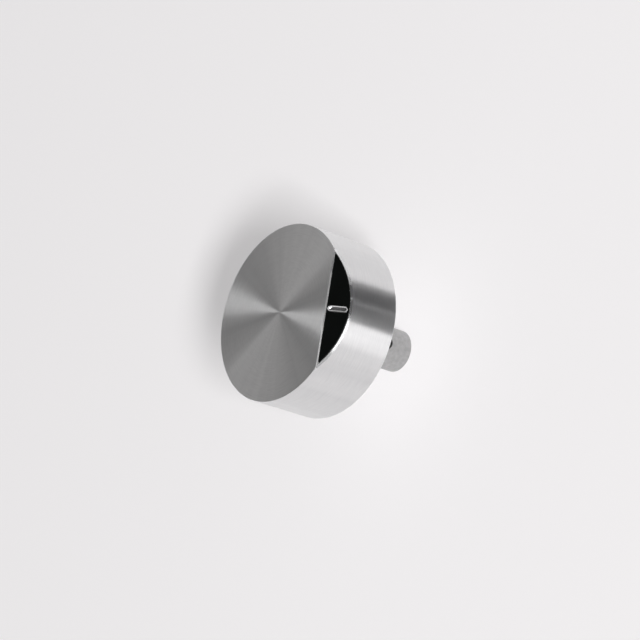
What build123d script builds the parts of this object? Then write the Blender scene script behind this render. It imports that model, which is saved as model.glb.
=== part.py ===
"""Control knob: a turned body with a sloped pointer facet, a black plate and a bright index bar let into that
facet, and a stem at the back that takes a shaft and clamps it with a grub screw.

The origin is the centre of the stem's open end. +Z runs along the axis to the front face, and the pointer is on
the -Y side. Lengths are in millimetres and angles in degrees.
"""

import os
from math import cos, radians, sin, tan

from build123d import *

# Turned body
body_diameter = 42.0
body_length = 16.9
front_edge_break = 0.15
rear_edge_radius = 0.5

# Facet across the front edge: a narrow steep bevel along the chord, then a slope out to the side
facet_width = 5.1
bevel_depth = 0.28
bevel_slope = 60.0
facet_slope = 32.0
facet_edge_break = 0.3

# Black plate let into the facet
plate_thickness = 0.8
plate_margin = 0.35
plate_corner_radius = 0.25
plate_clearance = 0.03

# Index bar let into the plate, a sunk floor inside a raised rim
bar_width = 1.5
bar_inner_gap = 0.24
bar_outer_gap = 0.39
bar_rim = 0.3
bar_floor_depth = 0.25
bar_clearance = 0.02

# Stem set into the back of the body
stem_diameter = 10.0
stem_reach = 19.8
stem_seat = 10.0
stem_end_break = 0.3
stem_clearance = 0.01

# Bore for the shaft
bore_diameter = 6.06
bore_depth = 18.0
bore_mouth_break = 0.3

# Grub screw through the wall of the stem
screw_diameter = 3.0
screw_height = 7.6
screw_end_recess = 0.1
screw_tip_clearance = 0.05
screw_end_break = 0.2
screw_socket_width = 1.5
screw_socket_depth = 0.9
screw_clearance = 0.03

# How far each cut runs past the face that it opens
overrun = 1.0

body_radius = body_diameter / 2
stem_radius = stem_diameter / 2
bore_radius = bore_diameter / 2
screw_radius = screw_diameter / 2
face_height = stem_reach + body_length
cut_reach = body_radius + overrun
slope = radians(facet_slope)
chord_distance = body_radius - facet_width
bevel_foot_distance = chord_distance + bevel_depth / tan(radians(bevel_slope))
bevel_foot_height = face_height - bevel_depth
plate_radius = body_radius - plate_margin
bar_length = (plate_radius - bevel_foot_distance) / cos(slope) - bar_inner_gap - bar_outer_gap
upright = (Align.CENTER, Align.CENTER, Align.MIN)

# The facet's own plane starts at the foot of the bevel: X runs down the slope, Y across it and Z out of it.
bevel_foot = (0, -bevel_foot_distance, bevel_foot_height)
facet_plane = Plane(origin=bevel_foot, x_dir=(0, -cos(slope), -sin(slope)), z_dir=(0, -sin(slope), cos(slope)))
# The screw's plane has Z pointing out of the stem on the pointer's side.
screw_plane = Plane(origin=(0, 0, screw_height), x_dir=(1, 0, 0), z_dir=(0, -1, 0))


def facet_cut():
    """Everything that the facet takes off the front edge."""
    top = face_height + overrun
    top_distance = chord_distance - overrun / tan(radians(bevel_slope))
    rim = bevel_foot_height - (cut_reach - bevel_foot_distance) * tan(slope)
    corners = [
        (-top_distance, top),
        (-bevel_foot_distance, bevel_foot_height),
        (-cut_reach, rim),
        (-cut_reach, top),
    ]
    return extrude(Plane.YZ * Polygon(*corners, align=None), amount=cut_reach, both=True)


def facet_layer(clearance):
    """Layer under the facet's surface, from the bevel to short of the body's side: the plate or its seat."""
    sheet = Pos(clearance, 0) * Rectangle(cut_reach, 2 * cut_reach, align=(Align.MIN, Align.CENTER))
    layer = extrude(facet_plane * sheet, amount=-plate_thickness)
    layer = layer & Cylinder(plate_radius - clearance, face_height, align=upright)
    corners = layer.edges().sort_by(SortBy.LENGTH)[:2]
    return fillet(corners, plate_corner_radius - clearance)


def bar_block(grow, bottom, top):
    """Solid with the index bar's outline, grown or shrunk, between two heights off the facet's plane."""
    outline = SlotOverall(bar_length + 2 * grow, bar_width + 2 * grow)
    base = facet_plane.offset(bottom) * Pos(bar_inner_gap + bar_length / 2, 0) * outline
    return extrude(base, amount=top - bottom)


def knob_body():
    """Turned body with the facet, the seat of the plate and the socket of the stem."""
    body = Pos(0, 0, stem_reach) * Cylinder(body_radius, body_length, align=upright)
    rims = body.edges().filter_by(GeomType.CIRCLE).sort_by(Axis.Z)
    body = fillet(rims.first, rear_edge_radius)
    front_rim = body.edges().filter_by(GeomType.CIRCLE).sort_by(Axis.Z).last
    body = chamfer(front_rim, front_edge_break) - facet_cut()
    facet_rim = body.edges().filter_by(GeomType.ELLIPSE).sort_by(SortBy.LENGTH).last
    body = chamfer(facet_rim, facet_edge_break) - facet_layer(0)
    return body - Pos(0, 0, stem_reach) * Cylinder(stem_radius + stem_clearance, stem_seat, align=upright)


def pointer_plate():
    """Black plate that fills the facet, pierced for the index bar."""
    return facet_layer(plate_clearance) - bar_block(bar_clearance, -plate_thickness - overrun, overrun)


def index_bar():
    """Index bar that stands on the floor of the plate's seat, level with the plate."""
    return bar_block(0, -plate_thickness, 0) - bar_block(-bar_rim, -bar_floor_depth, overrun)


def shaft_stem():
    """Stem with the shaft's bore and the hole of the grub screw."""
    stem = Cylinder(stem_radius, stem_reach + stem_seat, align=upright)
    stem = chamfer(stem.edges().filter_by(GeomType.CIRCLE), stem_end_break)
    bore = Cylinder(bore_radius, bore_depth, align=upright)
    mouth = Cone(bore_radius + bore_mouth_break, bore_radius, bore_mouth_break, align=upright)
    screw_hole = screw_plane * Cylinder(screw_radius + screw_clearance, stem_radius + overrun, align=upright)
    return stem - bore - mouth - screw_hole


def grub_screw():
    """Grub screw just below the stem's surface, backed off until its tip is clear of the bore."""
    tip = bore_radius + screw_tip_clearance
    end = stem_radius - screw_end_recess
    screw = screw_plane * Pos(0, 0, tip) * Cylinder(screw_radius, end - tip, align=upright)
    screw = chamfer(screw.edges().filter_by(GeomType.CIRCLE), screw_end_break)
    hexagon = RegularPolygon(screw_socket_width / 2, side_count=6, major_radius=False)
    return screw - extrude(screw_plane.offset(end) * hexagon, amount=-screw_socket_depth)


pieces = {
    "knob_body": knob_body(),
    "pointer_plate": pointer_plate(),
    "index_bar": index_bar(),
    "shaft_stem": shaft_stem(),
    "grub_screw": grub_screw(),
}
os.makedirs("parts", exist_ok=True)
for name, piece in pieces.items():
    export_step(piece, f"parts/{name}.step")
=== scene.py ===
"""Control knob: a turned aluminium body with a black pointer plate and an index bar in its facet,
a stem and a grub screw, with the stage that shows it.

The file is laid out as an add-on and is run as a script. Lengths are in metres, in the frame of the
solids: the origin is the centre of the stem's open end, +Z runs to the front face, and the pointer
is on the -Y side.
"""

from math import acos, cos, pi, radians, sin, sqrt, tan

import bmesh
import bpy
from bpy.props import FloatProperty, FloatVectorProperty, IntProperty, PointerProperty
from mathutils import Matrix, Vector


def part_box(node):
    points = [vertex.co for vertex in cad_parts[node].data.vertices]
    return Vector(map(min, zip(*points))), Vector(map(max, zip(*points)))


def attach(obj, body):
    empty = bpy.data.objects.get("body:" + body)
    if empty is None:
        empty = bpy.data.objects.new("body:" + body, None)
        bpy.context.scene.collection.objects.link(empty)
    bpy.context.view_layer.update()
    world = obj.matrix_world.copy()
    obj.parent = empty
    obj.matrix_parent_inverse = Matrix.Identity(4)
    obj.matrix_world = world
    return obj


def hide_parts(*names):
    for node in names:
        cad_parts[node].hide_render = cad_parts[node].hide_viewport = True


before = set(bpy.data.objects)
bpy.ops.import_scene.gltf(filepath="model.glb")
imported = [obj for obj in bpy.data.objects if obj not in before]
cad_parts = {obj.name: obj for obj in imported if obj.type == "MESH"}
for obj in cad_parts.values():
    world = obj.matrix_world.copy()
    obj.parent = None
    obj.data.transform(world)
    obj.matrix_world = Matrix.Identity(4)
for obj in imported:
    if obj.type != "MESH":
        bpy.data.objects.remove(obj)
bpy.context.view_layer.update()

bl_info = {
    "name": "Control knob",
    "version": (1, 0, 0),
    "blender": (4, 5, 0),
    "location": "3D View > Sidebar > Knob",
    "description": "Builds a turned aluminium control knob with a pointer plate, and its stage",
    "category": "Object",
}

body_low, body_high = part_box("knob_body")
_, stem_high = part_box("shaft_stem")
screw_low, screw_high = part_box("grub_screw")
mm = 0.001

# How far cutters reach past the metal, and past the facet at the plate's seat.
overrun = 1.0 * mm
seat_overrun = 0.5 * mm
# Width of the flat ring that keeps the shading of a rounded edge off the face beside it.
guard_ring = 0.03 * mm
# Distances within which points are merged, after turning and after cutting.
seam = 0.0001 * mm
sliver = 0.0005 * mm
# Crease angle in degrees that keeps fine chamfers sharp.
fine_crease = 20.0


def length(name, text, value):
    """Length property of the knob, in metres."""
    return FloatProperty(name=name, description=text, default=value, min=0.0, precision=5, unit="LENGTH")


def angle(name, text, degrees):
    """Angle property of the knob."""
    return FloatProperty(name=name, description=text, default=radians(degrees), subtype="ANGLE")


def colour(name, text, value):
    """Colour property of a finish."""
    return FloatVectorProperty(
        name=name, description=text, default=value, size=3, min=0.0, max=1.0, subtype="COLOR"
    )


def factor(name, text, value):
    """Property between nought and one."""
    return FloatProperty(name=name, description=text, default=value, min=0.0, max=1.0, subtype="FACTOR")


def span(name, text, low, high):
    """Property with two values, such as a range or a width and a height."""
    return FloatVectorProperty(name=name, description=text, default=(low, high), size=2, precision=3)


def power(name, text, value):
    """Power of a lamp, in watts."""
    return FloatProperty(name=name, description=text, default=value, min=0.0, unit="POWER")


class KnobSizes(bpy.types.PropertyGroup):
    """Sizes of the knob's pieces."""

    body_radius: length("Body radius", "Radius of the turned body", body_high.x)
    face_height: length("Face height", "Height of the front face above the stem's open end", body_high.z)
    body_base: length("Body base", "Height of the body's back above the stem's open end", body_low.z)
    front_edge: length("Front edge", "Break of the edge between the face and the side", 0.15 * mm)
    rear_edge: length("Rear edge", "Radius of the edge between the side and the back", 0.5 * mm)
    facet_width: length("Facet width", "Width of the facet, from its chord to the side", 5.1 * mm)
    bevel_depth: length("Bevel depth", "Depth of the steep bevel along the chord", 0.28 * mm)
    bevel_slope: angle("Bevel slope", "Slope of the bevel along the chord", 60.0)
    facet_slope: angle("Facet slope", "Slope of the facet towards the side", 32.0)
    facet_edge: length("Facet edge", "Break of the edge between the facet and the side", 0.3 * mm)
    plate_thickness: length("Plate thickness", "Thickness of the pointer plate", 0.8 * mm)
    plate_margin: length("Plate margin", "Metal left between the plate and the side", 0.35 * mm)
    plate_corner: length("Plate corner", "Rounding of the plate's two corners", 0.25 * mm)
    plate_clearance: length("Plate clearance", "Gap around the plate in its seat", 0.03 * mm)
    plate_edge: length("Plate edge", "Rounding of the plate's front edges", 0.05 * mm)
    bar_width: length("Bar width", "Width of the index bar", 1.5 * mm)
    bar_inner_gap: length("Bar inner gap", "Gap between the bar and the bevel", 0.24 * mm)
    bar_outer_gap: length("Bar outer gap", "Gap between the bar and the plate's outer edge", 0.39 * mm)
    bar_rim: length("Bar rim", "Width of the bar's raised rim", 0.3 * mm)
    bar_floor_depth: length("Bar floor depth", "Depth of the sunk floor inside the rim", 0.25 * mm)
    bar_clearance: length("Bar clearance", "Gap around the bar in the plate", 0.02 * mm)
    bar_edge: length("Bar edge", "Width of the chamfer along the bar's long sides", 0.24 * mm)
    bar_edge_slope: angle("Bar edge slope", "Slope of the chamfer along the bar's long sides", 26.0)
    bar_inner_edge: length("Bar inner edge", "Rounding of the rim's inner edge", 0.05 * mm)
    bar_cove: length("Bar cove", "Hollow between the rim and the sunk floor", 0.16 * mm)
    bar_ramp: length("Bar ramp", "Further run of the hollow at the ends of the sunk floor", 0.4 * mm)
    socket_edge: length("Socket edge", "Rounding of the open edge of the stem's socket", 0.1 * mm)
    stem_radius: length("Stem radius", "Radius of the stem", stem_high.x)
    stem_top: length("Stem top", "Height of the stem's seated end", stem_high.z)
    stem_edge: length("Stem edge", "Break of the stem's end edges", 0.3 * mm)
    stem_clearance: length("Stem clearance", "Gap around the stem in its socket", 0.01 * mm)
    bore_radius: length("Bore radius", "Radius of the shaft's bore", 3.03 * mm)
    bore_depth: length("Bore depth", "Depth of the shaft's bore", 18.0 * mm)
    bore_mouth: length("Bore mouth", "Break of the bore's open edge", 0.3 * mm)
    bore_edge: length("Bore edge", "Rounding on both sides of the bore's break", 0.1 * mm)
    screw_radius: length("Screw radius", "Radius of the grub screw over its thread", 1.5 * mm)
    screw_height: length(
        "Screw height", "Height of the screw above the stem's open end", (screw_low.z + screw_high.z) / 2
    )
    screw_recess: length("Screw recess", "Depth of the screw's end below the stem's surface", 0.1 * mm)
    screw_tip: length("Screw tip gap", "Gap between the screw's tip and the bore", 0.05 * mm)
    screw_edge: length("Screw edge", "Break of the screw's end edges", 0.2 * mm)
    screw_socket: length("Socket width", "Width across the flats of the screw's socket", 1.5 * mm)
    screw_socket_depth: length("Socket depth", "Depth of the screw's socket", 0.9 * mm)
    screw_clearance: length("Screw clearance", "Gap around the screw in its hole", 0.03 * mm)
    thread_pitch: length("Thread pitch", "Pitch of the screw's thread", 0.5 * mm)
    thread_depth: length("Thread depth", "Depth of the screw's thread", 0.2 * mm)
    segments: IntProperty(
        name="Segments", description="Segments around the turned pieces", default=384, min=48
    )


class KnobFinish(bpy.types.PropertyGroup):
    """Colours and textures of the knob's finishes."""

    aluminium: colour("Aluminium", "Brushed aluminium of the body", (0.92, 0.92, 0.93))
    plate: colour("Plate", "Gloss black of the pointer plate", (0.0016, 0.0020, 0.0018))
    bar: colour("Index bar", "Bright aluminium of the index bar", (0.9, 0.9, 0.91))
    stem: colour("Stem", "Blasted grey of the stem", (0.5, 0.5, 0.5))
    screw: colour("Screw", "Black oxide of the grub screw", (0.03, 0.03, 0.032))
    line_pitch: length("Line pitch", "Pitch of the fine turning lines on the body", 0.25 * mm)
    spun_shades: span("Spun shades", "Darkest and lightest shade of the turning lines", 0.86, 1.1)
    spun_rough: span("Spun roughness", "Roughness of the turning lines", 0.31, 0.43)
    spun_wear: span("Spun wear", "Change of the body's roughness where it was handled", -0.02, 0.02)
    spun_streaks: span("Spun streaks", "Change of shade along the turning lines", -0.35, 0.35)
    spun_pull: factor("Spun pull", "How far the turning lines draw out the highlights", 0.97)
    cut_polish: factor("Cut polish", "How much smoother the cut faces are than the turned ones", 0.17)
    plate_shades: span("Plate shades", "Darkest and lightest shade of the plate", 0.7, 1.3)
    plate_rough: span("Plate roughness", "Roughness of the plate", 0.05, 0.11)
    plate_gloss: factor("Plate gloss", "Strength of the plate's reflections", 0.4)
    bar_shades: span("Bar shades", "Darkest and lightest shade of the index bar", 0.9, 1.1)
    bar_rough: span("Bar roughness", "Roughness of the index bar's cut faces", 0.12, 0.22)
    bar_satin: factor("Bar satin", "Further roughness of the index bar's crown", 0.28)
    bar_crown: length("Bar crown", "Depth of the satin crown below the facet", 0.015 * mm)
    grain: length("Grain", "Size of the blasted grain on the stem", 0.12 * mm)
    stem_shades: span("Stem shades", "Darkest and lightest shade of the stem", 0.6, 1.45)
    stem_rough: span("Stem roughness", "Roughness of the stem", 0.5, 0.68)
    screw_shades: span("Screw shades", "Darkest and lightest shade of the screw", 0.6, 1.4)
    screw_rough: span("Screw roughness", "Roughness of the screw", 0.32, 0.5)


class KnobStage(bpy.types.PropertyGroup):
    """Floor, lamps and surroundings. Azimuths run from the pointer towards +X."""

    floor: colour("Floor", "Pale floor under the knob", (0.925, 0.909, 0.917))
    floor_glow: factor("Floor glow", "Share of the pale floor that doesn't come from the lamps", 0.45)
    aim_height: length("Aim height", "Height above the floor that the lamps face", 20 * mm)
    key_power: power("Key power", "Power of the lamp that lights the floor and throws the shadow", 114.0)
    key_size: span("Key size", "Width and height of the key lamp", 0.7, 0.32)
    key_azimuth: angle("Key azimuth", "Direction of the key lamp", -19.0)
    key_elevation: angle("Key elevation", "Height of the key lamp above the floor", 30.5)
    key_distance: length("Key distance", "Distance of the key lamp", 3.0)
    panel_power: power("Panel power", "Power of the soft panel that the metal shows", 9.4)
    panel_size: span("Panel size", "Width and height of the soft panel", 0.75, 0.9)
    panel_azimuth: angle("Panel azimuth", "Direction of the soft panel", -8.0)
    panel_elevation: angle("Panel elevation", "Height of the soft panel above the floor", 50.0)
    panel_distance: length("Panel distance", "Distance of the panels and the strip", 1.6)
    strip_power: power("Strip power", "Power of the low strip under the soft panel", 0.6)
    strip_size: span("Strip size", "Width and height of the low strip", 0.71, 0.28)
    strip_azimuth: angle("Strip azimuth", "Direction of the low strip", -8.5)
    strip_elevation: angle("Strip elevation", "Height of the low strip above the floor", 20.0)
    side_power: power("Side power", "Power of the small panel at the side", 0.55)
    side_size: span("Side size", "Width and height of the small panel", 0.45, 0.5)
    side_azimuth: angle("Side azimuth", "Direction of the small panel", 95.0)
    side_elevation: angle("Side elevation", "Height of the small panel above the floor", 30.0)
    fill_power: power("Fill power", "Power of the weak panel behind", 0.72)
    fill_size: span("Fill size", "Width and height of the weak panel", 1.4, 1.0)
    fill_azimuth: angle("Fill azimuth", "Direction of the weak panel", 140.0)
    fill_elevation: angle("Fill elevation", "Height of the weak panel above the floor", 33.0)
    horizon: colour("Horizon", "Surroundings near the horizon", (0.92, 0.92, 0.925))
    middle: colour("Middle", "Surroundings half way up", (0.124, 0.119, 0.116))
    zenith: colour("Zenith", "Surroundings overhead", (0.05, 0.05, 0.05))
    # The flag's cards glow faintly and only the metal's gloss sees them: a painted dark reflection in the
    # side, lighter towards their tops.
    flag: colour("Flag", "Dark cards in front of the side", (0.06, 0.06, 0.062))
    flag_shades: span("Flag shades", "Shade of the cards below and above their fade", 0.95, 1.8)


class Graph:
    """Adds nodes to a node tree and joins them."""

    def __init__(self, tree):
        self.tree = tree
        tree.nodes.clear()

    def node(self, kind, inputs=(), **settings):
        """New node with its settings, and its inputs joined or set."""
        made = self.tree.nodes.new(kind)
        made.location = (200 * (len(self.tree.nodes) % 8), -260 * (len(self.tree.nodes) // 8))
        for key, value in settings.items():
            setattr(made, key, value)
        for key, value in dict(inputs).items():
            self.set(made.inputs[key], value)
        return made

    def set(self, socket, value):
        """Joins a socket to another one, or sets its value."""
        if isinstance(value, bpy.types.NodeSocket):
            self.tree.links.new(value, socket)
        else:
            socket.default_value = value

    def calculate(self, kind, operation, *values):
        """Output of a Math, Vector Math or Integer Math node."""
        made = self.node(kind, operation=operation)
        for socket, value in zip(made.inputs, values):
            self.set(socket, value)
        return made.outputs[0]

    def math(self, operation, *values):
        return self.calculate("ShaderNodeMath", operation, *values)

    def whole(self, operation, *values):
        return self.calculate("FunctionNodeIntegerMath", operation, *values)

    def vector(self, operation, *values):
        return self.calculate("ShaderNodeVectorMath", operation, *values)

    def spread(self, value, low, high):
        """Value between nought and one brought to a range."""
        made = self.node("ShaderNodeMapRange", {"Value": value, "To Min": low, "To Max": high})
        return made.outputs["Result"]

    def flatten(self, place):
        """Place without its height."""
        return self.vector("MULTIPLY", place, (1.0, 1.0, 0.0))

    def distance(self, place):
        """Distance of a place from the Z axis."""
        made = self.node("ShaderNodeVectorMath", {0: self.flatten(place)}, operation="LENGTH")
        return made.outputs["Value"]

    def outward(self, place, scale):
        """Direction from the Z axis to a place, drawn out by a scale."""
        made = self.vector("SCALE", self.vector("NORMALIZE", self.flatten(place)))
        self.set(made.node.inputs["Scale"], scale)
        return made

    def noise(self, place, scale, detail, roughness=0.5):
        """Value of a noise texture."""
        inputs = {"Vector": place, "Scale": scale, "Detail": detail, "Roughness": roughness}
        return self.node("ShaderNodeTexNoise", inputs).outputs["Fac"]

    def relief(self, height, strength, depth):
        """Normal of a surface with a fine relief."""
        made = self.node("ShaderNodeBump", {"Height": height, "Strength": strength, "Distance": depth})
        return made.outputs["Normal"]


def add_sockets(tree, **kinds):
    """Gives a Geometry Nodes tree its inputs, and one piece as its output."""
    for name, kind in kinds.items():
        tree.interface.new_socket(name, in_out="INPUT", socket_type=f"NodeSocket{kind}")
    tree.interface.new_socket("Piece", in_out="OUTPUT", socket_type="NodeSocketGeometry")


def give_out(graph, shaped, finish):
    """Ends a Geometry Nodes tree with a real mesh in its finish."""
    real = graph.node("GeometryNodeRealizeInstances", {"Geometry": shaped.outputs["Geometry"]})
    inputs = {"Geometry": real.outputs["Geometry"], "Material": finish}
    painted = graph.node("GeometryNodeSetMaterial", inputs)
    graph.node("NodeGroupOutput", {"Piece": painted.outputs["Geometry"]})


def turning_tree():
    """Geometry Nodes tree that turns a profile round the Z axis."""
    tree = bpy.data.node_groups.new("Turned piece", "GeometryNodeTree")
    add_sockets(tree, Profile="Geometry", Segments="Int", Finish="Material")
    graph = Graph(tree)
    given = graph.node("NodeGroupInput")
    profile, segments = given.outputs["Profile"], given.outputs["Segments"]
    count = graph.node("GeometryNodeAttributeDomainSize", {"Geometry": profile}).outputs["Point Count"]
    around = graph.whole("ADD", segments, 1)
    rows = {"Vertices X": count, "Vertices Y": around}
    grid = graph.node("GeometryNodeMeshGrid", rows).outputs["Mesh"]
    index = graph.node("GeometryNodeInputIndex").outputs["Index"]
    place = graph.node("GeometryNodeInputPosition").outputs["Position"]
    sample = graph.node("GeometryNodeSampleIndex", data_type="FLOAT_VECTOR", domain="POINT")
    graph.set(sample.inputs["Geometry"], profile)
    graph.set(sample.inputs["Value"], place)
    graph.set(sample.inputs["Index"], graph.whole("DIVIDE_FLOOR", index, around))
    point = graph.node("ShaderNodeSeparateXYZ", {"Vector": sample.outputs["Value"]})
    step = graph.math("DIVIDE", graph.whole("MODULO", index, around), segments)
    turn = graph.math("MULTIPLY", graph.math("FRACT", step), 2 * pi)
    across = graph.math("MULTIPLY", point.outputs["X"], graph.math("SINE", turn))
    along = graph.math("MULTIPLY", point.outputs["X"], graph.math("COSINE", turn))
    parts = {"X": across, "Y": along, "Z": point.outputs["Z"]}
    spot = graph.node("ShaderNodeCombineXYZ", parts).outputs["Vector"]
    moved = graph.node("GeometryNodeSetPosition", {"Geometry": grid, "Position": spot}).outputs["Geometry"]
    joined = graph.node("GeometryNodeMergeByDistance", {"Geometry": moved, "Distance": seam})
    smooth = graph.node("GeometryNodeSetShadeSmooth", {"Geometry": joined.outputs["Geometry"]})
    give_out(graph, smooth, given.outputs["Finish"])
    return tree


def thread_tree():
    """Geometry Nodes tree that cuts a thread into a piece turned round the Z axis."""
    tree = bpy.data.node_groups.new("Cut thread", "GeometryNodeTree")
    add_sockets(tree, Blank="Geometry", Radius="Float", Pitch="Float", Depth="Float", Finish="Material")
    graph = Graph(tree)
    given = graph.node("NodeGroupInput")
    place = graph.node("GeometryNodeInputPosition").outputs["Position"]
    point = graph.node("ShaderNodeSeparateXYZ", {"Vector": place})
    radius = graph.distance(place)
    turn = graph.math("DIVIDE", graph.math("ARCTAN2", point.outputs["Y"], point.outputs["X"]), 2 * pi)
    rise = graph.math("ADD", graph.math("DIVIDE", point.outputs["Z"], given.outputs["Pitch"]), turn)
    # The groove goes from nought to its full depth and back once in each turn.
    groove = graph.math("MULTIPLY", graph.math("PINGPONG", rise, 0.5), 2.0)
    deep = graph.math("MULTIPLY", groove, given.outputs["Depth"])
    flank = graph.math("SUBTRACT", given.outputs["Radius"], deep)
    safe = graph.math("MAXIMUM", radius, 0.001 * mm)
    ratio = graph.math("DIVIDE", graph.math("MINIMUM", radius, flank), safe)
    scale = graph.node("ShaderNodeCombineXYZ", {"X": ratio, "Y": ratio, "Z": 1.0}).outputs["Vector"]
    spot = graph.vector("MULTIPLY", place, scale)
    moved = graph.node("GeometryNodeSetPosition", {"Geometry": given.outputs["Blank"], "Position": spot})
    give_out(graph, moved, given.outputs["Finish"])
    return tree


def run_tree(piece, tree, **inputs):
    """Adds a Geometry Nodes modifier with its inputs set."""
    modifier = piece.modifiers.new(tree.name, "NODES")
    modifier.node_group = tree
    for item in tree.interface.items_tree:
        if item.in_out == "INPUT" and item.name in inputs:
            modifier[item.identifier] = inputs[item.name]


def settle(piece):
    """Turns the result of a piece's modifiers into its own plain mesh."""
    graph = bpy.context.evaluated_depsgraph_get()
    old = piece.data
    mesh = bpy.data.meshes.new_from_object(piece.evaluated_get(graph), depsgraph=graph)
    piece.modifiers.clear()
    piece.data = mesh
    mesh.name = piece.name
    bpy.data.meshes.remove(old)


def new_piece(name, mesh):
    """Object at the origin that holds a mesh."""
    piece = bpy.data.objects.new(name, mesh)
    bpy.context.scene.collection.objects.link(piece)
    return piece


def turned(name, profile, segments, finish):
    """Piece turned from a profile of radii and heights, with its modifier still on it."""
    line = bpy.data.meshes.new(name)
    ends = range(len(profile) - 1)
    line.from_pydata([(radius, 0.0, height) for radius, height in profile], [(i, i + 1) for i in ends], [])
    piece = new_piece(name, line)
    run_tree(piece, turning_tree(), Segments=segments, Finish=finish)
    return piece


def rounded(corners, steps=8, guard=0.05 * mm):
    """Profile through corners of radius, height and rounding, with guard points beside each rounding."""
    profile = [Vector(corners[0][:2])]
    for before, here, after in zip(corners, corners[1:], corners[2:]):
        corner = Vector(here[:2])
        back = (Vector(before[:2]) - corner).normalized()
        ahead = (Vector(after[:2]) - corner).normalized()
        if not here[2]:
            profile.append(corner)
            continue
        inside = acos(max(-1.0, min(1.0, back.dot(ahead))))
        setback = here[2] / tan(inside / 2)
        centre = corner + (back + ahead).normalized() * (here[2] / sin(inside / 2))
        first = corner + back * setback - centre
        last = corner + ahead * setback - centre
        profile.append(corner + back * (setback + guard))
        for step in range(steps + 1):
            share = step / steps
            swing = pi - inside
            blend = first * sin((1 - share) * swing) + last * sin(share * swing)
            profile.append(centre + blend / sin(swing))
        profile.append(corner + ahead * (setback + guard))
    profile.append(Vector(corners[-1][:2]))
    return [tuple(point) for point in profile]


def loft(shape, loops, caps=True):
    """Skins loops of points of equal count, and caps the first and last ones."""
    rings = [[shape.verts.new(point) for point in loop] for loop in loops]
    for low, high in zip(rings, rings[1:]):
        for i in range(len(low)):
            shape.faces.new((low[i - 1], low[i], high[i], high[i - 1]))
    if caps:
        shape.faces.new(rings[0])
        shape.faces.new(rings[-1])
    return rings


def shape_mesh(shape, name):
    """Mesh of a shape with its faces turned outwards."""
    bmesh.ops.recalc_face_normals(shape, faces=shape.faces[:])
    mesh = bpy.data.meshes.new(name)
    shape.to_mesh(mesh)
    shape.free()
    return mesh


def cutter(loops):
    """Closed cutting body skinned over loops."""
    shape = bmesh.new()
    loft(shape, loops)
    return new_piece("cutter", shape_mesh(shape, "cutter"))


def cut(piece, tool):
    """Takes a cutting body off a piece and deletes it."""
    modifier = piece.modifiers.new("Cut", "BOOLEAN")
    modifier.operation = "DIFFERENCE"
    modifier.solver = "EXACT"
    modifier.object = tool
    settle(piece)
    mesh = tool.data
    bpy.data.objects.remove(tool)
    bpy.data.meshes.remove(mesh)


def clean(piece):
    """Merges the slivers that cuts leave, and turns the faces of a closed piece outwards."""
    shape = bmesh.new()
    shape.from_mesh(piece.data)
    bmesh.ops.remove_doubles(shape, verts=shape.verts[:], dist=sliver)
    bmesh.ops.recalc_face_normals(shape, faces=shape.faces[:])
    shape.to_mesh(piece.data)
    shape.free()


def seat(piece, node, crease=35.0):
    """Shades a closed piece and seats it in the frame in place of its solid."""
    shape = bmesh.new()
    shape.from_mesh(piece.data)
    loose = [edge for edge in shape.edges if len(edge.link_faces) != 2]
    shape.free()
    if loose or not piece.data.polygons:
        raise RuntimeError(f"{piece.name} isn't closed: {len(loose)} open edges")
    finishes = list(piece.data.materials)
    cut_faces = piece.data.attributes.new("cut_face", "FLOAT", "FACE")
    for polygon in piece.data.polygons:
        cut_faces.data[polygon.index].value = float(finishes[polygon.material_index] is None)
        polygon.material_index = 0
    piece.data.materials.clear()
    piece.data.materials.append(next(item for item in finishes if item))
    piece.data.shade_smooth()
    piece.data.set_sharp_from_angle(angle=radians(crease))
    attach(piece, "root")
    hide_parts(node)


def bevel_foot(sizes):
    """Middle of the line where the bevel along the chord meets the facet."""
    out = sizes.body_radius - sizes.facet_width + sizes.bevel_depth / tan(sizes.bevel_slope)
    return Vector((0.0, -out, sizes.face_height - sizes.bevel_depth))


def facet_point(sizes, along, across, above):
    """Point measured down the facet's slope, across it and out of it, from the foot of the bevel."""
    foot, slope = bevel_foot(sizes), sizes.facet_slope
    down = Vector((0.0, -cos(slope), -sin(slope)))
    out = Vector((0.0, -sin(slope), cos(slope)))
    return foot + down * along + out * above + Vector((across, 0.0, 0.0))


def plate_outline(sizes, inset, above, steps=96, corner_steps=10):
    """Outline of the plate, drawn in by an inset: an arc and two round corners on the chord."""
    foot, slope = bevel_foot(sizes), sizes.facet_slope
    radius = sizes.body_radius - sizes.plate_margin - inset
    corner = sizes.plate_corner - inset
    chord = -facet_point(sizes, inset, 0.0, above).y
    half = acos((chord + corner) / (radius - corner))
    middle = (radius - corner) * sin(half)
    flat = [(middle + corner * sin(pi - turn), chord + corner + corner * cos(pi - turn)) for turn in [
        (pi - half) * step / corner_steps for step in range(corner_steps + 1)
    ]]
    side = [(radius * sin(turn), radius * cos(turn)) for turn in [
        half * (1 - 2 * step / steps) for step in range(1, steps)
    ]]
    points = []
    for across, out in flat + side + [(-across, out) for across, out in reversed(flat)]:
        along = (foot.y - above * sin(slope) + out) / cos(slope)
        points.append(facet_point(sizes, along, across, above))
    return points


def bar_length(sizes):
    """Length of the index bar, between its gaps."""
    reach = sizes.body_radius - sizes.plate_margin + bevel_foot(sizes).y
    return reach / cos(sizes.facet_slope) - sizes.bar_inner_gap - sizes.bar_outer_gap


def bar_outline(sizes, grow, above, pull=0.0, steps=64):
    """Outline of the index bar with round ends, grown or shrunk, with its ends pulled in."""
    whole = bar_length(sizes)
    run = (whole - sizes.bar_width) / 2 - pull
    radius = sizes.bar_width / 2 + grow
    points = []
    for step in range(steps):
        turn = 2 * pi * (step + 0.5) / steps
        along = sizes.bar_inner_gap + whole / 2 + radius * cos(turn)
        along += run if cos(turn) > 0 else -run
        points.append(facet_point(sizes, along, radius * sin(turn), above))
    return points


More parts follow.
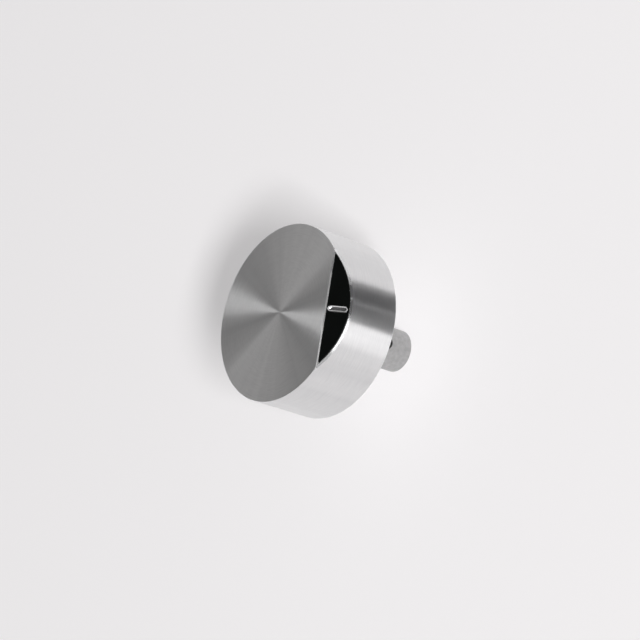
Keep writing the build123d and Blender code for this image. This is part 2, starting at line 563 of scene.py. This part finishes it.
def facet_cutter(sizes):
    """Everything that the facet takes off the front edge."""
    foot = bevel_foot(sizes)
    past = sizes.body_radius + overrun
    rim = foot.z - (past + foot.y) * tan(sizes.facet_slope)
    top = sizes.face_height + overrun
    section = [
        (foot.y + (top - foot.z) / tan(sizes.bevel_slope), top),
        (foot.y, foot.z),
        (-past, rim),
        (-past, top),
    ]
    return cutter([[(side * past, y, z) for y, z in section] for side in (-1, 1)])


def rim_cutter(sizes, steps=128):
    """Break of the edge between the facet and the side."""
    foot, slope, edge = bevel_foot(sizes), sizes.facet_slope, sizes.facet_edge
    past_end = 0.02
    half = acos(-foot.y / sizes.body_radius) + past_end
    loops = []
    for step in range(steps + 1):
        turn = half * (2 * step / steps - 1)
        out = Vector((sin(turn), -cos(turn), 0.0))
        rise = tan(slope) * cos(turn)
        drop = edge * sqrt(1 + (tan(slope) * sin(turn)) ** 2)
        inset = edge / sqrt(1 + rise**2)
        height = foot.z - (sizes.body_radius * cos(turn) + foot.y) * tan(slope)
        rim = out * sizes.body_radius + Vector((0.0, 0.0, height))
        loops.append((
            rim - out * inset + Vector((0.0, 0.0, inset * rise)),
            rim - Vector((0.0, 0.0, drop)),
            rim + out * overrun + Vector((0.0, 0.0, overrun)),
        ))
    return cutter(loops)


def line_coordinates(graph, pitch):
    """Coordinates whose third part counts turning lines: rings on the face, hoops round the side."""
    place = graph.node("ShaderNodeTexCoord").outputs["Object"]
    point = graph.node("ShaderNodeSeparateXYZ", {"Vector": place})
    run = graph.math("ADD", graph.distance(place), point.outputs["Z"])
    lines = graph.math("DIVIDE", run, pitch)
    lift = graph.node("ShaderNodeCombineXYZ", {"Z": lines}).outputs["Vector"]
    return graph.vector("ADD", graph.outward(place, scale=5.0), lift), place


def new_finish(name):
    """Material with a graph and a Principled shader that is joined to the output."""
    finish = bpy.data.materials.new(name)
    finish.use_nodes = True
    graph = Graph(finish.node_tree)
    shader = graph.node("ShaderNodeBsdfPrincipled")
    graph.node("ShaderNodeOutputMaterial", {"Surface": shader.outputs["BSDF"]})
    return finish, graph, shader


def shades(graph, value, tone, low, high):
    """Colour that goes from a darker to a lighter shade of a tone."""
    ramp = graph.node("ShaderNodeMix", {"Factor": value}, data_type="RGBA")
    ramp.inputs["A"].default_value = (*[part * low for part in tone], 1.0)
    ramp.inputs["B"].default_value = (*[min(1.0, part * high) for part in tone], 1.0)
    return ramp.outputs[2]


def dress(graph, shader, tone, rough, normal, metallic=1.0):
    """Joins a finish's colour, roughness and relief to its shader."""
    graph.set(shader.inputs["Base Color"], tone)
    graph.set(shader.inputs["Roughness"], rough)
    graph.set(shader.inputs["Normal"], normal)
    shader.inputs["Metallic"].default_value = metallic


def spun_aluminium(finishes):
    """Aluminium with fine turning lines."""
    finish, graph, shader = new_finish("spun_aluminium")
    lines, place = line_coordinates(graph, finishes.line_pitch)
    fine = graph.noise(lines, scale=1.0, detail=3.0, roughness=0.6)
    wear = graph.spread(graph.noise(place, scale=220.0, detail=2.0), *finishes.spun_wear)
    spun = graph.math("ADD", graph.spread(fine, *finishes.spun_rough), wear)
    # The faces that cutters leave, such as the bevel and the edge of the facet, are brighter cut.
    cut_face = graph.node("ShaderNodeAttribute", attribute_name="cut_face").outputs["Fac"]
    rough = graph.math("SUBTRACT", spun, graph.math("MULTIPLY", cut_face, finishes.cut_polish))
    streak = graph.noise(graph.outward(place, scale=7.0), scale=1.0, detail=2.0)
    tone = graph.math("ADD", fine, graph.spread(streak, *finishes.spun_streaks))
    metal = shades(graph, tone, finishes.aluminium, *finishes.spun_shades)
    dress(graph, shader, metal, rough, graph.relief(fine, strength=0.35, depth=0.006 * mm))
    # The turning lines run round the axis, and those on the cut faces straight along the bevel.
    groove = graph.vector("CROSS_PRODUCT", (0.0, 0.0, 1.0), place)
    way = graph.node("ShaderNodeMix", {"Factor": cut_face}, data_type="VECTOR")
    graph.set(way.inputs["A"], graph.vector("NORMALIZE", groove))
    graph.set(way.inputs["B"], (1.0, 0.0, 0.0))
    graph.set(shader.inputs["Tangent"], way.outputs[1])
    quarter_turn = 0.25
    shader.inputs["Anisotropic"].default_value = finishes.spun_pull
    shader.inputs["Anisotropic Rotation"].default_value = quarter_turn
    return finish


def black_gloss(finishes):
    """Gloss black with a trace of orange peel and dust."""
    finish, graph, shader = new_finish("gloss_plate")
    place = graph.node("ShaderNodeTexCoord").outputs["Object"]
    peel = graph.noise(place, scale=900.0, detail=1.0)
    film = graph.noise(place, scale=260.0, detail=3.0)
    tone = shades(graph, film, finishes.plate, *finishes.plate_shades)
    rough = graph.spread(film, *finishes.plate_rough)
    normal = graph.relief(peel, strength=0.15, depth=0.002 * mm)
    dress(graph, shader, tone, rough, normal, metallic=0.0)
    shader.inputs["Specular IOR Level"].default_value = finishes.plate_gloss
    return finish


def bright_aluminium(finishes, sizes):
    """Bright cut aluminium with fine marks and a satin crown."""
    finish, graph, shader = new_finish("bright_bar")
    place = graph.node("ShaderNodeTexCoord").outputs["Object"]
    drawn = graph.node("ShaderNodeMapping", {"Vector": place, "Scale": (9000.0, 700.0, 700.0)})
    marks = graph.noise(drawn.outputs["Vector"], scale=1.0, detail=2.0)
    tone = shades(graph, marks, finishes.bar, *finishes.bar_shades)
    # The crown is what lies at most a hair below the facet.
    point = graph.node("ShaderNodeSeparateXYZ", {"Vector": place})
    foot, slope = bevel_foot(sizes), sizes.facet_slope
    fall = graph.math("MULTIPLY", graph.math("SUBTRACT", point.outputs["Y"], foot.y), -sin(slope))
    rise = graph.math("MULTIPLY", graph.math("SUBTRACT", point.outputs["Z"], foot.z), cos(slope))
    crown = graph.math("GREATER_THAN", graph.math("ADD", fall, rise), -finishes.bar_crown)
    satin = graph.math("MULTIPLY", crown, finishes.bar_satin)
    rough = graph.math("ADD", graph.spread(marks, *finishes.bar_rough), satin)
    dress(graph, shader, tone, rough, graph.relief(marks, strength=0.2, depth=0.004 * mm))
    return finish


def blasted_metal(finishes):
    """Matte grey metal with a blasted grain."""
    finish, graph, shader = new_finish("blasted_metal")
    place = graph.node("ShaderNodeTexCoord").outputs["Object"]
    grain = graph.noise(place, scale=1.0 / finishes.grain, detail=2.0)
    cloud = graph.noise(place, scale=1100.0, detail=3.0)
    mean = graph.math("MULTIPLY", graph.math("ADD", grain, cloud), 0.5)
    tone = shades(graph, mean, finishes.stem, *finishes.stem_shades)
    rough = graph.spread(grain, *finishes.stem_rough)
    dress(graph, shader, tone, rough, graph.relief(grain, strength=0.5, depth=0.01 * mm))
    return finish


def black_oxide(finishes):
    """Black oxide steel."""
    finish, graph, shader = new_finish("black_oxide")
    place = graph.node("ShaderNodeTexCoord").outputs["Object"]
    stain = graph.noise(place, scale=2500.0, detail=3.0)
    tone = shades(graph, stain, finishes.screw, *finishes.screw_shades)
    rough = graph.spread(stain, *finishes.screw_rough)
    dress(graph, shader, tone, rough, graph.relief(stain, strength=0.2, depth=0.005 * mm))
    return finish


class KNOB_OT_turn_body(bpy.types.Operator):
    """Turn the body and cut its pointer facet and the plate's seat"""

    bl_idname = "knob.turn_body"
    bl_label = "Turned body"

    def execute(self, context):
        sizes = context.scene.knob_sizes
        socket = sizes.stem_radius + sizes.stem_clearance
        profile = rounded([
            (0.0, sizes.stem_top, 0.0),
            (socket, sizes.stem_top, 0.0),
            (socket, sizes.body_base, sizes.socket_edge),
            (sizes.body_radius, sizes.body_base, sizes.rear_edge),
            (sizes.body_radius, sizes.face_height, sizes.front_edge),
            (0.0, sizes.face_height, 0.0),
        ])
        finish = spun_aluminium(context.scene.knob_finish)
        piece = turned("turned_body", profile, sizes.segments, finish)
        settle(piece)
        clean(piece)
        cut(piece, facet_cutter(sizes))
        cut(piece, rim_cutter(sizes))
        # The seat is drawn in by a third of the plate's clearance, so two thirds are left as its gap.
        ledge = sizes.plate_clearance / 3
        layers = (-sizes.plate_thickness, seat_overrun)
        cut(piece, cutter([plate_outline(sizes, ledge, above) for above in layers]))
        clean(piece)
        seat(piece, "knob_body", crease=fine_crease)
        return {"FINISHED"}


class KNOB_OT_lay_plate(bpy.types.Operator):
    """Make the black plate that lies in the facet"""

    bl_idname = "knob.lay_plate"
    bl_label = "Pointer plate"

    def execute(self, context):
        sizes = context.scene.knob_sizes
        deep, edge, gap = -sizes.plate_thickness, sizes.plate_edge, sizes.plate_clearance
        hole, slope = sizes.bar_clearance, sizes.facet_slope
        turn_share = 0.3
        turn = turn_share * edge
        layers = [(0.0, deep), (0.0, -edge), (turn, -turn), (edge, 0.0), (edge + guard_ring, 0.0)]
        shape = bmesh.new()
        outlines = [plate_outline(sizes, gap + inset, above) for inset, above in layers]
        outer = loft(shape, outlines, caps=False)
        outlines = [bar_outline(sizes, hole + inset, above) for inset, above in layers]
        inner = loft(shape, outlines, caps=False)
        out = (0.0, -sin(slope), cos(slope))
        for end in (0, -1):
            border = []
            for ring in (outer[end], inner[end]):
                border += [shape.edges.get((ring[i - 1], ring[i])) for i in range(len(ring))]
            bmesh.ops.triangle_fill(shape, use_beauty=True, edges=border, normal=out)
        piece = new_piece("pointer_panel", shape_mesh(shape, "pointer_panel"))
        piece.data.materials.append(black_gloss(context.scene.knob_finish))
        seat(piece, "pointer_plate")
        return {"FINISHED"}


class KNOB_OT_set_bar(bpy.types.Operator):
    """Make the index bar with its sunk floor"""

    bl_idname = "knob.set_bar"
    bl_label = "Index bar"

    def execute(self, context):
        sizes = context.scene.knob_sizes
        rim, floor, cove = sizes.bar_rim, -sizes.bar_floor_depth, sizes.bar_cove
        edge, inner, ramp = sizes.bar_edge, sizes.bar_inner_edge, sizes.bar_ramp
        drop = edge * tan(sizes.bar_edge_slope)
        steps = 6
        quarter = [pi / 2 * step / steps for step in range(steps + 1)]
        # The chamfer runs out at the round ends, which stay square.
        layers = [(0.0, -sizes.plate_thickness, 0.0), (0.0, -drop, 0.0), (-edge, 0.0, -edge)]
        for turn in quarter:
            layers.append((inner * (1 - sin(turn)) - rim, inner * (cos(turn) - 1), 0.0))
        for turn in quarter:
            drawn = 1 - cos(turn)
            layers.append((-rim - cove * drawn, floor + cove * (1 - sin(turn)), ramp * drawn))
        layers.append((-rim - cove - guard_ring, floor, ramp + guard_ring))
        shape = bmesh.new()
        loft(shape, [bar_outline(sizes, *layer) for layer in layers])
        piece = new_piece("index_mark", shape_mesh(shape, "index_mark"))
        piece.data.materials.append(bright_aluminium(context.scene.knob_finish, sizes))
        seat(piece, "index_bar", crease=fine_crease)
        return {"FINISHED"}


class KNOB_OT_turn_stem(bpy.types.Operator):
    """Turn the stem with its bore and drill the screw's hole"""

    bl_idname = "knob.turn_stem"
    bl_label = "Stem"

    def execute(self, context):
        sizes = context.scene.knob_sizes
        mouth, edge = sizes.bore_mouth, sizes.stem_edge
        profile = rounded([
            (0.0, sizes.bore_depth, 0.0),
            (sizes.bore_radius, sizes.bore_depth, 0.0),
            (sizes.bore_radius, mouth, sizes.bore_edge),
            (sizes.bore_radius + mouth, 0.0, sizes.bore_edge),
            (sizes.stem_radius, 0.0, edge),
            (sizes.stem_radius, sizes.stem_top, edge),
            (0.0, sizes.stem_top, 0.0),
        ])
        finish = blasted_metal(context.scene.knob_finish)
        piece = turned("stem", profile, sizes.segments // 2, finish)
        settle(piece)
        clean(piece)
        radius = sizes.screw_radius + sizes.screw_clearance
        steps = sizes.segments // 4
        turns = [2 * pi * step / steps for step in range(steps)]
        circle = [(radius * sin(turn), sizes.screw_height + radius * cos(turn)) for turn in turns]
        ends = (0.0, -sizes.stem_radius - overrun)
        cut(piece, cutter([[(x, y, z) for x, z in circle] for y in ends]))
        clean(piece)
        seat(piece, "shaft_stem")
        return {"FINISHED"}


class KNOB_OT_thread_screw(bpy.types.Operator):
    """Turn the grub screw, cut its thread and sink its socket"""

    bl_idname = "knob.thread_screw"
    bl_label = "Grub screw"

    def execute(self, context):
        sizes = context.scene.knob_sizes
        tip = sizes.bore_radius + sizes.screw_tip
        end = sizes.stem_radius - sizes.screw_recess
        edge, radius = sizes.screw_edge, sizes.screw_radius
        rows = 40
        run = end - tip - 2 * edge
        shank = [(radius, tip + edge + run * row / rows) for row in range(rows + 1)]
        profile = [(0.0, tip), (radius - edge, tip), *shank, (radius - edge, end), (0.0, end)]
        finish = black_oxide(context.scene.knob_finish)
        piece = turned("set_screw", profile, sizes.segments // 4, finish)
        thread = {"Radius": radius, "Pitch": sizes.thread_pitch, "Depth": sizes.thread_depth}
        run_tree(piece, thread_tree(), Finish=finish, **thread)
        settle(piece)
        clean(piece)
        # The socket is a hexagon.
        reach = sizes.screw_socket / 2 / cos(pi / 6)
        corners = [(reach * cos(pi * k / 3), reach * sin(pi * k / 3)) for k in range(6)]
        depths = (end - sizes.screw_socket_depth, end + overrun)
        cut(piece, cutter([[(x, y, depth) for x, y in corners] for depth in depths]))
        clean(piece)
        # The turned axis is laid along -Y, out of the stem on the pointer's side.
        lay = Matrix(((1, 0, 0, 0), (0, 0, -1, 0), (0, 1, 0, sizes.screw_height), (0, 0, 0, 1)))
        piece.data.transform(lay)
        seat(piece, "grub_screw")
        return {"FINISHED"}


class KNOB_OT_set_stage(bpy.types.Operator):
    """Lay the pale floor and set the lamps, the surroundings and the camera"""

    bl_idname = "knob.set_stage"
    bl_label = "Stage"

    def execute(self, context):
        stage = context.scene.knob_stage
        context.scene.view_settings.view_transform = "Standard"
        self.floor(stage)
        self.flag(stage)
        self.lamps(context, stage)
        self.surroundings(context, stage)
        self.camera(context)
        return {"FINISHED"}

    def floor(self, stage):
        """Pale floor that keeps the shadow."""
        shape = bmesh.new()
        bmesh.ops.create_grid(shape, x_segments=8, y_segments=8, size=4.0)
        floor = new_piece("floor", shape_mesh(shape, "floor"))
        finish, graph, shader = new_finish("pale_floor")
        path = graph.node("ShaderNodeLightPath")
        seen = graph.math("MAXIMUM", path.outputs["Is Camera Ray"], path.outputs["Is Glossy Ray"])
        seen = graph.math("MAXIMUM", seen, path.outputs["Is Transmission Ray"])
        lit = [part * (1 - stage.floor_glow) for part in stage.floor]
        shader.inputs["Base Color"].default_value = (*lit, 1.0)
        shader.inputs["Roughness"].default_value = 1.0
        shader.inputs["Specular IOR Level"].default_value = 0.0
        shader.inputs["Emission Color"].default_value = (*stage.floor, 1.0)
        graph.set(shader.inputs["Emission Strength"], graph.math("MULTIPLY", seen, stage.floor_glow))
        floor.data.materials.append(finish)

    def flag(self, stage):
        """Dark cards in front of the side, lighter upwards, which only the metal's gloss sees: their faint
        glow is a painted dark reflection in the side, lighter towards their tops.
        """
        near, steps = 33 * mm, 16
        fade_from, fade_to = 24 * mm, 34 * mm
        # First and last azimuth of each card in degrees, and its lower and upper edge in millimetres.
        cards = (
            (-3.9, -0.8, 0.2, 35.0),
            (-0.8, 12.3, 0.2, 39.8),
            (12.9, 22.5, 0.2, 39.8),
            (22.5, 27.0, 0.2, 36.5),
            (27.0, 32.0, 0.2, 33.0),
            (21.4, 45.0, 39.4, 50.0),
        )
        shape = bmesh.new()
        for low, high, bottom, top in cards:
            turns = [radians(low + (high - low) * step / steps) for step in range(steps + 1)]
            foot = [(near * sin(turn), -near * cos(turn)) for turn in turns]
            lower = [shape.verts.new((x, y, bottom * mm)) for x, y in foot]
            upper = [shape.verts.new((x, y, top * mm)) for x, y in foot]
            for i in range(steps):
                shape.faces.new((lower[i], lower[i + 1], upper[i + 1], upper[i]))
        flag = new_piece("flag", shape_mesh(shape, "flag"))
        # The cards' glow, weak below and stronger towards their tops, is a painted dark reflection in the
        # side.
        finish, graph, shader = new_finish("dark_card")
        shader.inputs["Base Color"].default_value = (0.0, 0.0, 0.0, 1.0)
        shader.inputs["Specular IOR Level"].default_value = 0.0
        shader.inputs["Emission Color"].default_value = (*stage.flag, 1.0)
        place = graph.node("ShaderNodeTexCoord").outputs["Object"]
        height = graph.node("ShaderNodeSeparateXYZ", {"Vector": place}).outputs["Z"]
        fade = graph.node("ShaderNodeMapRange", {"Value": height, "From Min": fade_from, "From Max": fade_to})
        shade = graph.spread(fade.outputs["Result"], *stage.flag_shades)
        graph.set(shader.inputs["Emission Strength"], shade)
        flag.data.materials.append(finish)
        flag.visible_camera = flag.visible_diffuse = False
        flag.visible_shadow = flag.visible_transmission = False

    def lamps(self, context, stage):
        """Key lamp for the floor, and soft panels that only the gloss of the pieces sees."""
        self.lamp(context, stage, "key", stage.key_distance).visible_glossy = False
        for name in ("panel", "strip", "side", "fill"):
            self.lamp(context, stage, name, stage.panel_distance).visible_diffuse = False

    def lamp(self, context, stage, name, away):
        """Flat lamp that faces the knob, with its settings found by its name."""
        settings = ("power", "size", "azimuth", "elevation")
        watts, size, turn, rise = [getattr(stage, f"{name}_{key}") for key in settings]
        data = bpy.data.lights.new(name, "AREA")
        data.energy = watts
        data.shape = "RECTANGLE"
        data.size, data.size_y = size
        lamp = bpy.data.objects.new(name, data)
        way = Vector((sin(turn) * cos(rise), -cos(turn) * cos(rise), sin(rise)))
        lamp.location = Vector((0.0, 0.0, stage.aim_height)) + way * away
        lamp.rotation_euler = way.to_track_quat("Z", "Y").to_euler()
        context.scene.collection.objects.link(lamp)
        return lamp

    def surroundings(self, context, stage):
        """Pale backdrop round the floor that darkens overhead."""
        world = bpy.data.worlds.new("surroundings")
        world.use_nodes = True
        context.scene.world = world
        graph = Graph(world.node_tree)
        way = graph.node("ShaderNodeTexCoord").outputs["Generated"]
        height = graph.node("ShaderNodeSeparateXYZ", {"Vector": way}).outputs["Z"]
        sky = graph.node("ShaderNodeValToRGB", {"Fac": height})
        stops = sky.color_ramp.elements
        stops[0].color = (*stage.horizon, 1.0)
        stops[1].color = (*stage.zenith, 1.0)
        # Heights at which the tones change, as the sine of the angle above the horizon.
        tones = (
            (0.22, stage.horizon),
            (0.45, stage.middle),
            (0.7, stage.middle),
            (0.92, stage.zenith),
        )
        for place, tone in tones:
            stops.new(place).color = (*tone, 1.0)
        seen = graph.node("ShaderNodeLightPath").outputs["Is Camera Ray"]
        back = graph.node("ShaderNodeMix", {"Factor": seen}, data_type="RGBA")
        graph.set(back.inputs["A"], sky.outputs["Color"])
        back.inputs["B"].default_value = (*stage.floor, 1.0)
        light = graph.node("ShaderNodeBackground", {"Color": back.outputs[2]})
        graph.node("ShaderNodeOutputWorld", {"Surface": light.outputs["Background"]})

    def camera(self, context):
        """Camera that sees the knob as the photograph does, with its axis across the picture."""
        data = bpy.data.cameras.new("camera")
        data.lens, data.sensor_width = 152.46, 36.0
        data.clip_start, data.clip_end = 0.01, 20.0
        camera = bpy.data.objects.new("camera", data)
        right = Vector((0.1537, -0.64713, -0.74672)).normalized()
        back = Vector((-0.20751, -0.75999, 0.61592)).normalized()
        up = back.cross(right).normalized()
        right = up.cross(back)
        turn = Matrix((right, up, back)).transposed().to_4x4()
        place = Vector((-128.352, -474.773, 409.45)) * mm
        camera.matrix_world = Matrix.Translation(place) @ turn
        context.scene.collection.objects.link(camera)
        context.scene.camera = camera


operators = (
    KNOB_OT_set_stage,
    KNOB_OT_turn_body,
    KNOB_OT_lay_plate,
    KNOB_OT_set_bar,
    KNOB_OT_turn_stem,
    KNOB_OT_thread_screw,
)


class KNOB_PT_panel(bpy.types.Panel):
    """Sizes, finishes and pieces of the knob."""

    bl_idname = "KNOB_PT_panel"
    bl_label = "Control knob"
    bl_space_type = "VIEW_3D"
    bl_region_type = "UI"
    bl_category = "Knob"

    def draw(self, context):
        for group in (context.scene.knob_sizes, context.scene.knob_finish, context.scene.knob_stage):
            box = self.layout.box()
            for key in group.bl_rna.properties.keys():
                if key not in ("rna_type", "name"):
                    box.prop(group, key)
        for operator in operators:
            self.layout.operator(operator.bl_idname)


classes = (KnobSizes, KnobFinish, KnobStage, *operators, KNOB_PT_panel)


def register():
    """Registers the classes and puts their settings on the scene."""
    for item in classes:
        bpy.utils.register_class(item)
    bpy.types.Scene.knob_sizes = PointerProperty(type=KnobSizes)
    bpy.types.Scene.knob_finish = PointerProperty(type=KnobFinish)
    bpy.types.Scene.knob_stage = PointerProperty(type=KnobStage)


def unregister():
    """Takes the settings off the scene and unregisters the classes."""
    del bpy.types.Scene.knob_stage
    del bpy.types.Scene.knob_finish
    del bpy.types.Scene.knob_sizes
    for item in reversed(classes):
        bpy.utils.unregister_class(item)


def main():
    """Builds the stage and every piece."""
    register()
    bpy.ops.knob.set_stage()
    bpy.ops.knob.turn_body()
    bpy.ops.knob.lay_plate()
    bpy.ops.knob.set_bar()
    bpy.ops.knob.turn_stem()
    bpy.ops.knob.thread_screw()


if __name__ == "__main__":
    main()
